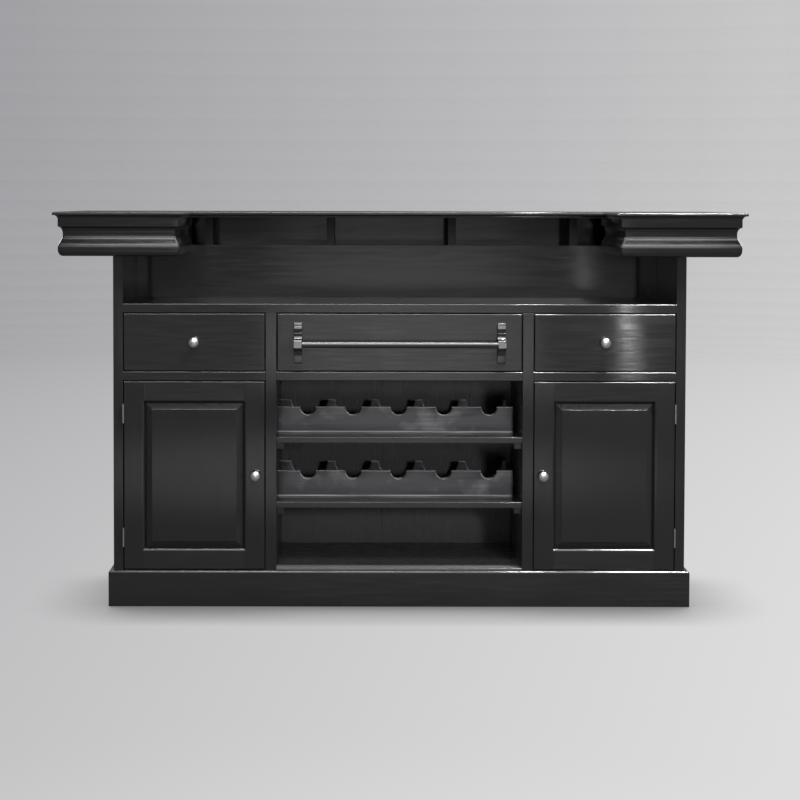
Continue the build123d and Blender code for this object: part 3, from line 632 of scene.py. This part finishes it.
# %% Eased boards
def eased(outline, thickness, ease, steps=6):
    """Rings of an outline and the depth of each, drawn in along a quarter circle towards both faces.

    A point moves in along the sum of its two edge normals, divided by one plus their dot product, so that
    every edge moves by the same amount.
    """
    edge = np.roll(outline, -1, axis=0) - outline
    edge = edge / np.linalg.norm(edge, axis=1, keepdims=True)
    normal = np.stack([-edge[:, 1], edge[:, 0]], axis=1)
    before = np.roll(normal, 1, axis=0)
    inward = (normal + before) / (1 + np.sum(normal * before, axis=1, keepdims=True))
    turn = np.linspace(0, np.pi / 2, steps)
    inset = ease * (1 - np.sin(turn))
    depth = ease * (1 - np.cos(turn))
    inset = np.concatenate([inset, inset[::-1]])
    depth = np.concatenate([depth, thickness - depth[::-1]])
    return outline + inset[:, None, None] * inward, depth


unit_square = np.array([(0.0, 0.0), (1.0, 0.0), (1.0, 1.0), (0.0, 1.0)])
print("a square board with eased edges has", len(eased(unit_square, 1.0, 0.1)[0]), "rings")


# %% [markdown]
# A bracket has a cap in two tiers, a bead and a small hollow under it, a nose that holds the rail, and a
# scoop that runs down to the toe. A band saw and a file cut that from one thick board. The tiers and the
# nose lean back a little, so that each of them catches the light from above. The outline is straight
# lines and arcs, which keeps the hollows truly round, and it is carried across the width.

# %% Brackets
BRACKET_WIDTH = 23 * MM
BRACKET_EASE = 1.4 * MM
BOSS = 12 * MM
NOSE = 49 * MM
NOSE_ROUND = 4 * MM
NOSE_LEAN = 9 * MM
TIER_LEAN = 2.5 * MM
TIER_SLOPE = 5.5 * MM
TOE_ROUND = 4 * MM
BACK = 10 * MM
CAP = 17 * MM
CAP_STEP = 6 * MM
TIER = 9 * MM
RISE = 58 * MM
TAIL = 54 * MM
BEAD = 2.5 * MM


def bracket_outline():
    """Distance out from the drawer and height above the rail's axis, from the cap round to the back."""
    step = CAP - CAP_STEP
    cap_low = RISE - 2 * TIER
    bead = cap_low - TIER - BEAD
    scoop = 2 * BOSS
    toe = BACK - 1.5 * TOE_ROUND
    return np.concatenate([
        [(0, RISE), (step - TIER_LEAN, RISE), (step, RISE - TIER_SLOPE), (step, RISE - TIER)],
        [(CAP - TIER_LEAN, RISE - TIER), (CAP, RISE - TIER - TIER_SLOPE), (CAP, cap_low), (BACK, cap_low)],
        arc((BACK, bead), (BEAD, BEAD), 90, -90, 9),
        arc((2 * BACK, BOSS + BACK), (BACK, BACK), 180, 270, 10),
        [(NOSE - NOSE_LEAN, BOSS)],
        arc((NOSE - NOSE_ROUND, NOSE_ROUND - BOSS), (NOSE_ROUND, NOSE_ROUND), 0, -90, 10),
        arc((BACK + scoop, -BOSS - scoop), (scoop, scoop), 90, 180, 16),
        arc((toe, TOE_ROUND - TAIL), (TOE_ROUND, TOE_ROUND), 0, -90, 7),
        [(0, -TAIL)],
    ])


def bracket(left_x, width, back_y, axis_z):
    """The side view carried across the width, from left to right."""
    outline = bracket_outline() * (-1, 1)
    rings, across = eased(outline, width, BRACKET_EASE)
    x = np.broadcast_to(left_x + across[:, None], rings.shape[:2])
    return np.stack([x, back_y + rings[..., 0], axis_z + rings[..., 1]], axis=2)


low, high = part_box("handle_brackets")
rail_low, rail_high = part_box("handle_rail")
axis_z = (rail_low.z + rail_high.z) / 2
rings = [bracket(x, BRACKET_WIDTH, high.y, axis_z) for x in (low.x, high.x - BRACKET_WIDTH)]
brackets = stacked("sawn_handle_brackets", rings, gloss, "centre_drawer", ["handle_brackets"])


# %% [markdown]
# Each tier of the rack has two boards with a row of round notches: a shallow row in front for the necks
# of the bottles, and a deep row behind for their bodies. The record says where every bottle lies, so the
# notches are read from it. Their edges are well rounded, because labels and glass slide over them. The
# boards are painted pale along the foot, on the rims of the notches and in patches: partly wear, and
# partly painted highlight and glare, with the rims that face the light painted as highlight.

# %% Rack boards
RACK_HEIGHT = 72 * MM
RACK_EASE = 3.2 * MM
# Which bottle part a board holds, and the radius and depth of its notches.
notches = {"neck_racks": ("neck", 22 * MM, 22 * MM), "body_racks": ("body", 53 * MM, 49 * MM)}
openings = frame["record"]["physics"]["openings"]


def notched_outline(low_x, high_x, floor, centres, radius, drop):
    """Height and place along a board, up its left end, over the notches and down its right end."""
    top = floor + RACK_HEIGHT
    half = math.degrees(math.acos((radius - drop) / radius))
    middle = top + radius - drop
    over = [arc((middle, x), (-radius, radius), -half, half, 25) for x in centres]
    return np.concatenate([[(floor, low_x), (top, low_x)], *over, [(top, high_x), (floor, high_x)]])


low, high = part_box("neck_racks")
# A thin coat with grey streaks, painted pale at the foot and in patches as wear and painted glare, and on
# rims that face the light as painted highlight.
worn_and_highlit_thin = lacquer("thin_black_lacquer_worn_and_painted_highlit", "X", deep="#1f1f21", pale="#3e3e41",
                  smooth=0.16, rough=0.26, feet=(low.z, high.z - RACK_HEIGHT))
for node, (kind, radius, drop) in notches.items():
    low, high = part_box(node)
    boxes = [row["box_m"] for row in openings if row["name"].startswith(f"upper_{kind}_notch")]
    centres = [(corner[0][0] + corner[1][0]) / 2 for corner in boxes]
    stacks = []
    for floor in (low.z, high.z - RACK_HEIGHT):
        outline = notched_outline(low.x, high.x, floor, centres, radius, drop)
        rings, depth = eased(outline, high.y - low.y, RACK_EASE)
        y = np.broadcast_to(low.y + depth[:, None], rings.shape[:2])
        stacks.append(np.stack([rings[..., 1], y, rings[..., 0]], axis=2))
    stacked("notched_" + node, stacks, worn_and_highlit_thin, "carcase", [node])


# %% [markdown]
# The studio is a round bowl of pale paper: a level floor that sweeps up into a wall, so that no corner
# shows behind the counter. A bent sheet would do for one view. A profile turned about the vertical axis
# does for all of them.

# %% Floor and backdrop
FLOOR_RADIUS = 8.0
SWEEP_RADIUS = 3.0
WALL_HEIGHT = 6.0


def bowl(turns=96, steps=24):
    """A level radius, a quarter circle and an upright line, turned about the vertical axis."""
    angle = np.linspace(0, np.pi / 2, steps)
    sweep = FLOOR_RADIUS + SWEEP_RADIUS * np.sin(angle)
    radius = np.concatenate([[0.0], sweep, [FLOOR_RADIUS + SWEEP_RADIUS]])
    height = np.concatenate([[0.0], SWEEP_RADIUS * (1 - np.cos(angle)), [WALL_HEIGHT]])
    turn = np.linspace(0, 2 * np.pi, turns, endpoint=False)
    x = np.outer(np.cos(turn), radius)
    y = np.outer(np.sin(turn), radius)
    z = np.broadcast_to(height, x.shape)
    return np.stack([x, y, z], axis=2)


def quads(turns, columns):
    """Corner numbers of the faces of a grid whose first direction closes on itself."""
    number = np.arange(turns * columns).reshape(turns, columns)
    after = np.roll(number, -1, axis=0)
    return np.stack([number[:, :-1], after[:, :-1], after[:, 1:], number[:, 1:]], axis=2).reshape(-1, 4)


points = bowl()
bowl_mesh = bpy.data.meshes.new("studio_bowl")
bowl_mesh.from_pydata(points.reshape(-1, 3).tolist(), [], quads(*points.shape[:2]).tolist())
bowl_mesh.polygons.foreach_set("use_smooth", [True] * len(bowl_mesh.polygons))
print("studio bowl of", len(bowl_mesh.polygons), "faces")


# %% [markdown]
# The paper is paler at the right and towards the front, as the plain ground of the picture is: its tone
# spreads like a fan. It glows by itself, so that the lamps of the counter don't wash it out, and it darkens
# where the counter shuts off the light. That soft contact shadow is deepest in front, because the light
# comes from behind.

# %% Paper
CONTACT_SHADOW = 0.24
LIGHT_FROM = {"X": 0.0, "Y": 0.8, "Z": 0.6}
FAN_START = 7.0
FAN_REACH = 0.2
FAN_CONTRAST = 0.31
TONE_AT_COUNTER = 0.725
TONE_PER_METRE = -0.0396
SEEN_SHARE = 0.95
MIRRORED_SHARE = 0.3


def backdrop_paper():
    """Pale paper that gets lighter to the right and to the front, and darker close to what stands on it."""
    material, tree = finish_of("pale_studio_paper")
    place = add(tree, "TexCoord").outputs["Object"]
    across, along, _ = add(tree, "SeparateXYZ", {0: place}).outputs
    reach = add(tree, "Math", {0: along, 1: FAN_START}, operation="ADD")
    spread = add(tree, "Math", {0: reach.outputs[0], 1: FAN_START / 2}, operation="MAXIMUM")
    fan = add(tree, "Math", {0: across, 1: spread.outputs[0]}, operation="DIVIDE")
    sideways = add(tree, "MapRange", {"Value": fan.outputs[0], "From Min": -FAN_REACH, "From Max": FAN_REACH,
                                      "To Min": -FAN_CONTRAST, "To Max": FAN_CONTRAST})
    away = add(tree, "Math", {0: along, 1: TONE_PER_METRE, 2: TONE_AT_COUNTER}, operation="MULTIPLY_ADD")
    tone = add(tree, "Math", {0: away.outputs[0], 1: sideways.outputs[0]}, operation="ADD", use_clamp=True)
    colour = add(tree, "Mix", {0: tone.outputs[0], 6: linear("#a3a3a7"), 7: linear("#e1e1e1")},
                 data_type="RGBA")
    paper = add(tree, "BsdfDiffuse", {"Color": colour.outputs[2]})
    towards_light = add(tree, "CombineXYZ", LIGHT_FROM)
    contact = add(tree, "AmbientOcclusion", {"Distance": CONTACT_SHADOW, "Normal": towards_light.outputs[0]},
                  samples=16)
    glow = add(tree, "Emission", {"Color": colour.outputs[2], "Strength": contact.outputs["AO"]})
    rays = add(tree, "LightPath")
    glossy = add(tree, "Math", {0: rays.outputs["Is Glossy Ray"], 1: rays.outputs["Is Transmission Ray"]},
                 operation="MAXIMUM")
    mirrored = add(tree, "Math", {0: glossy.outputs[0], 1: MIRRORED_SHARE}, operation="MULTIPLY")
    share = add(tree, "Math", {0: rays.outputs["Is Camera Ray"], 1: SEEN_SHARE, 2: mirrored.outputs[0]},
                operation="MULTIPLY_ADD")
    both = add(tree, "MixShader", {0: share.outputs[0], 1: paper.outputs[0], 2: glow.outputs[0]})
    add(tree, "OutputMaterial", {"Surface": both.outputs[0]})
    return material


bowl_mesh.materials.append(backdrop_paper())
studio_bowl = bpy.data.objects.new("studio_bowl", bowl_mesh)
bpy.context.scene.collection.objects.link(studio_bowl)
print("paper on the bowl:", bowl_mesh.materials[0].name)


# %% [markdown]
# A lamp stands at the right of the camera, not much higher than the bar, and throws the shadow of each
# upright to the left inside the open bays. The lacquer doesn't mirror it. It mirrors two narrow lamps
# below: one is the streak on the right drawer and the rails, and a weaker one is the streak on the board
# behind the work space. A soft panel in front and a wide one above it draw pale bands along the
# mouldings, one at the right adds to them there, and a dim one low in front is the broad sheen in the
# middle. A panel and two lamps nearly overhead draw the bright lines along the top edges, and three
# panels light the customer's side. Black lacquer shows little but what it mirrors, so the shape and place
# of each lamp matter more than its power.

# %% Light
def lamp(name, place, aim, size, watts):
    """An area lamp at one place that shines towards another, with its width and height in metres."""
    data = bpy.data.lights.new(name, "AREA")
    data.shape = "ELLIPSE"
    data.size, data.size_y = size
    data.energy = watts
    item = bpy.data.objects.new(name, data)
    bpy.context.scene.collection.objects.link(item)
    item.location = place
    item.rotation_euler = (Vector(aim) - Vector(place)).to_track_quat("-Z", "Y").to_euler()
    return item


MIDDLE = (0.0, -0.25, 0.75)
side_lamp = lamp("side_lamp", place=(1.42, -5.2, 1.28), aim=MIDDLE, size=(0.45, 0.45), watts=135)
side_lamp.visible_glossy = False
side_glint = lamp("side_glint", place=(1.36, -5.2, 0.45), aim=MIDDLE, size=(0.05, 0.5), watts=1.8)
back_glint = lamp("back_glint", place=(1.23, -5.2, 0.4), aim=MIDDLE, size=(0.05, 0.4), watts=0.6)
corner_panel = lamp("corner_panel", place=(2.0, -3.0, 2.5), aim=MIDDLE, size=(2.2, 2.2), watts=8)
corner_panel.visible_diffuse = False
band_panel = lamp("band_panel", place=(0.2, -3.58, 4.2), aim=MIDDLE, size=(4.6, 1.1), watts=105)
front_panel = lamp("front_panel", place=(0.0, -4.78, 2.86), aim=MIDDLE, size=(4.6, 2.3), watts=70)
sheen_panel = lamp("sheen_panel", place=(0.15, -5.6, 0.3), aim=MIDDLE, size=(1.6, 0.6), watts=4.5)
front_lamps = [side_lamp, corner_panel, front_panel, band_panel]

top_panel = lamp("top_panel", place=(0.2, -1.0, 4.0), aim=(0.2, -0.3, 0.6), size=(3.0, 0.4), watts=130)
top_lamps = [
    lamp("top_lamp_left", place=(0.69, -1.0, 3.95), aim=(0.5, -0.3, 0.6), size=(0.2, 0.3), watts=70),
    lamp("top_lamp_right", place=(1.3, -1.0, 3.95), aim=(0.6, -0.3, 0.6), size=(0.7, 0.3), watts=260),
]

MIDDLE_BEHIND = (0.0, 0.25, 0.75)
rear_panels = [
    lamp("rear_panel_left", place=(-4.0, 3.8, 2.6), aim=MIDDLE_BEHIND, size=(3.0, 2.0), watts=150),
    lamp("rear_panel_right", place=(4.0, 3.8, 2.6), aim=MIDDLE_BEHIND, size=(3.0, 2.0), watts=150),
    lamp("rear_band_panel", place=(0.0, 4.0, 3.7), aim=MIDDLE_BEHIND, size=(4.6, 2.2), watts=180),
]


# %% [markdown]
# A spot high above the floor makes a pool of light on the paper in front of the counter. The lacquer
# mirrors it as the soft sheen on the doors. Paler paper would give that too, but it would change the
# ground of the picture.

# %% Pool of light on the paper
POOL_PLACE = (-0.25, -2.9, 4.0)
POOL_WATTS = 1000
POOL_CONE = math.radians(42)
POOL_SOURCE = 0.1

pool_data = bpy.data.lights.new("floor_pool", "SPOT")
pool_data.energy = POOL_WATTS
pool_data.spot_size = POOL_CONE
pool_data.spot_blend = 1.0
pool_data.shadow_soft_size = POOL_SOURCE
floor_pool = bpy.data.objects.new("floor_pool", pool_data)
bpy.context.scene.collection.objects.link(floor_pool)
floor_pool.location = POOL_PLACE
print("pool", round(2 * POOL_PLACE[2] * math.tan(POOL_CONE / 2), 2), "m across")


# %% [markdown]
# The lamps light the counter alone, because paper that glows by itself would turn white under them. Light
# linking does that: a group of pieces is left out of a lamp's light, or the lamp is kept to the group. It
# also keeps the panels behind the counter off the bar top, the lamps above off the pale drawers, and each
# of the two streaks on its own boards. An even light from all sides fills what is left of the shadows.

# %% Which pieces a lamp lights
EVEN_LIGHT = 0.12

pale_wood = [nodes[node] for node, slot in slot_of.items() if slot == "drawer_wood"]
bar_top = [nodes["bar_top_centre"], nodes["bar_top_wings"]]
level_boards = [nodes[node] for node in ("right_drawer_front", "frame_top_rail", "frame_mid_rails")]
linked = {
    "lit_by_its_own_glow": ("EXCLUDE", [studio_bowl], front_lamps),
    "not_lit_from_behind": ("EXCLUDE", [studio_bowl, *bar_top], rear_panels),
    "not_in_the_low_sheen": ("EXCLUDE", [studio_bowl, rail, brackets], [sheen_panel]),
    "not_lit_from_above": ("EXCLUDE", [studio_bowl, *pale_wood], [top_panel]),
    "not_in_the_top_glint": ("EXCLUDE", [studio_bowl, *pale_wood, moulded["wing_cornices"]], top_lamps),
    "in_the_glint": ("INCLUDE", level_boards, [side_glint]),
    "in_the_weak_glint": ("INCLUDE", [nodes["work_space_back"]], [back_glint]),
}
for name, (state, items, lamps) in linked.items():
    group = bpy.data.collections.new(name)
    for item in items:
        group.objects.link(item)
    for row in group.collection_objects:
        row.light_linking.link_state = state
    for item in lamps:
        item.light_linking.receiver_collection = group

world = bpy.data.worlds.new("even_studio_light")
world.use_nodes = True
world.node_tree.nodes["Background"].inputs["Color"].default_value = linear("#ffffff")
world.node_tree.nodes["Background"].inputs["Strength"].default_value = EVEN_LIGHT
bpy.context.scene.world = world
bpy.context.scene.view_settings.view_transform = "Standard"
print("light groups:", {name: len(items) for name, (_, items, _) in linked.items()})


# %% [markdown]
# The picture was taken from just above the height of the bar top, about five metres away and a little to
# the left of the middle, with a long lens that was held almost level. The view is shifted down so that
# the uprights stay upright.

# %% Camera
# Size of the picture, focal length and the point where the lens axis meets it, in pixels.
PICTURE = 800
FOCAL = 1859.6
AXIS = (357.3, 271.4)
SENSOR = 36.0
# Where the lens stands, in metres, and how far it is turned, tipped down and rolled, in radians.
EYE = (-0.129, -5.326, 1.116)
YAW = 0.0025
PITCH = 0.0388
ROLL = -0.0021

camera_data = bpy.data.cameras.new("camera")
camera_data.sensor_width = SENSOR
camera_data.lens = FOCAL / PICTURE * SENSOR
camera_data.shift_x = (PICTURE / 2 - AXIS[0]) / PICTURE
camera_data.shift_y = (AXIS[1] - PICTURE / 2) / PICTURE
camera = bpy.data.objects.new("camera", camera_data)
bpy.context.scene.collection.objects.link(camera)
turn = Matrix.Rotation(-YAW, 4, "Z") @ Matrix.Rotation(math.pi / 2 - PITCH, 4, "X")
camera.matrix_world = Matrix.Translation(EYE) @ turn @ Matrix.Rotation(-ROLL, 4, "Z")
bpy.context.scene.camera = camera
shift = (round(camera_data.shift_x, 3), round(camera_data.shift_y, 3))
print("lens", round(camera_data.lens, 1), "mm, shift", shift)
